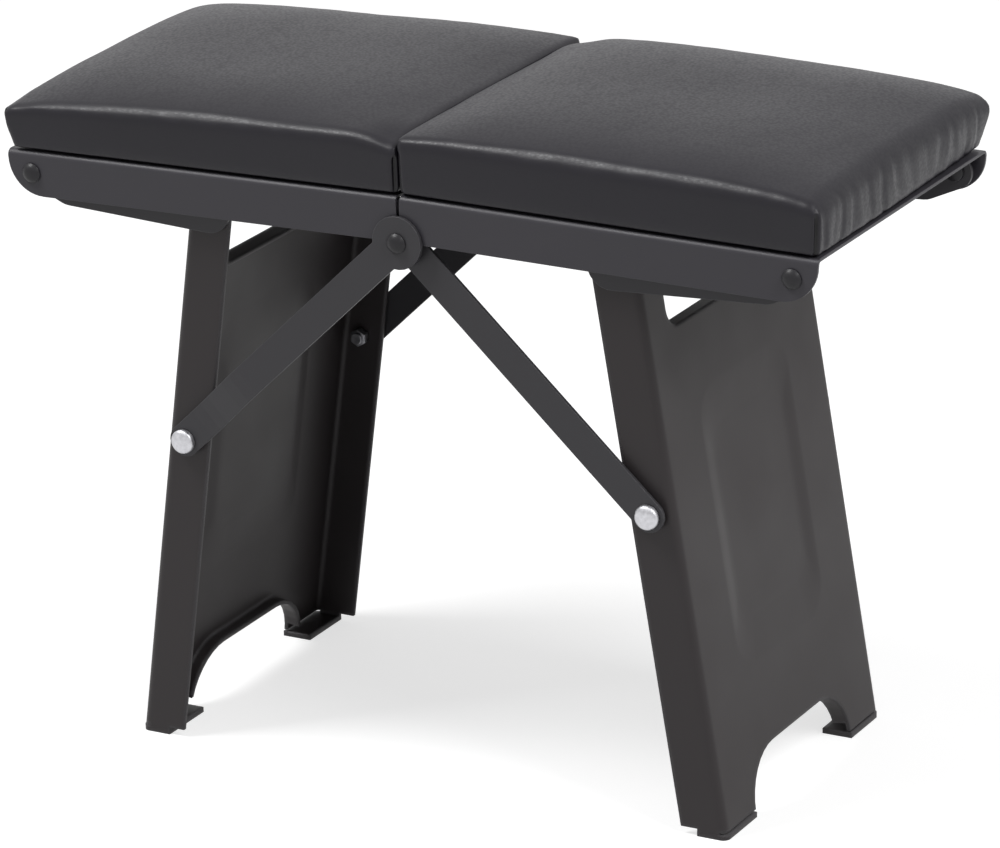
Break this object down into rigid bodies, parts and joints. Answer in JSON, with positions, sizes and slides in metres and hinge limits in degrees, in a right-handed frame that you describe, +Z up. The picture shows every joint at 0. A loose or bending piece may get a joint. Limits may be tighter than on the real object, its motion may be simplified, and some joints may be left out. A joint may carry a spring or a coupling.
{
  "type": "folding stool",
  "caption": "Small steel folding stool: a split padded seat on pressed trays, splayed sheet-steel legs on hidden links, and flat struts to a centre pivot",
  "frame": {"origin": "On the floor, under the centre of the open stool", "axes": "+X along the seat's length to the right half, +Y from front to back, +Z up"},
  "size_m": [0.3566, 0.1584, 0.2736],
  "materials": {
    "painted_steel": "charcoal powder coat, satin",
    "leg_steel": "charcoal powder coat, satin",
    "bar_steel": "charcoal powder coat, satin",
    "black_rivet": "black painted steel",
    "bright_zinc": "bright zinc plate",
    "seat_cover": "grained black artificial leather over foam",
    "seat_board": "black board"
  },
  "bodies": {
    "seat_left": {"left_seat_tray": "painted_steel", "left_seat_board": "seat_board", "left_cushion": "seat_cover", "left_front_end_rivet": "black_rivet", "left_back_end_rivet": "black_rivet", "front_centre_rivet": "black_rivet", "back_centre_rivet": "black_rivet"},
    "left_links": {"left_front_link": "bar_steel", "left_back_link": "bar_steel"},
    "left_leg_body": {"left_leg": "leg_steel", "left_front_link_rivet": "black_rivet", "left_front_bolt_nut": "bright_zinc", "left_back_link_rivet": "black_rivet", "left_back_bolt_nut": "bright_zinc"},
    "left_struts": {"left_front_strut": "bar_steel", "left_front_strut_bolt": "bright_zinc", "left_back_strut": "bar_steel", "left_back_strut_bolt": "bright_zinc"},
    "seat_right": {"right_seat_tray": "painted_steel", "right_seat_board": "seat_board", "right_cushion": "seat_cover", "right_front_end_rivet": "black_rivet", "right_back_end_rivet": "black_rivet"},
    "right_links": {"right_front_link": "bar_steel", "right_back_link": "bar_steel"},
    "right_leg_body": {"right_leg": "leg_steel", "right_front_link_rivet": "black_rivet", "right_front_bolt_nut": "bright_zinc", "right_back_link_rivet": "black_rivet", "right_back_bolt_nut": "bright_zinc"},
    "right_struts": {"right_front_strut": "bar_steel", "right_front_strut_bolt": "bright_zinc", "right_back_strut": "bar_steel", "right_back_strut_bolt": "bright_zinc"}
  },
  "joints": [
    {"name": "seat_fold", "type": "hinge", "parent": "seat_left", "child": "seat_right", "pos_m": [0, 0, 0.225], "axis": [0, 1, 0], "range_deg": [0, 50]},
    {"name": "right_leg_fold", "type": "hinge", "parent": "seat_right", "child": "right_links", "pos_m": [0.16461, 0, 0.23215], "axis": [0, -1, 0], "range_deg": [0, 155.1]},
    {"name": "right_leg_turn", "type": "hinge", "parent": "right_links", "child": "right_leg_body", "pos_m": [0.08751, 0, 0.226], "axis": [0, 1, 0], "range_deg": [0, 258.5]},
    {"name": "right_strut_swing", "type": "hinge", "parent": "seat_right", "child": "right_struts", "pos_m": [0, 0, 0.225], "axis": [0, -1, 0], "range_deg": [0, 38.45]},
    {"name": "left_leg_fold", "type": "hinge", "parent": "seat_left", "child": "left_links", "pos_m": [-0.16461, 0, 0.23215], "axis": [0, 1, 0], "range_deg": [0, 155.1]},
    {"name": "left_leg_turn", "type": "hinge", "parent": "left_links", "child": "left_leg_body", "pos_m": [-0.08751, 0, 0.226], "axis": [0, -1, 0], "range_deg": [0, 258.5]},
    {"name": "left_strut_swing", "type": "hinge", "parent": "seat_left", "child": "left_struts", "pos_m": [0, 0, 0.225], "axis": [0, 1, 0], "range_deg": [0, 38.45]}
  ],
  "couplings": [
    {"joint": "right_leg_turn", "follows": "right_leg_fold", "ratio": 1.6664},
    {"joint": "right_strut_swing", "follows": "right_leg_fold", "ratio": 0.2476},
    {"joint": "left_leg_turn", "follows": "left_leg_fold", "ratio": 1.6664},
    {"joint": "left_strut_swing", "follows": "left_leg_fold", "ratio": 0.2476}
  ]
}
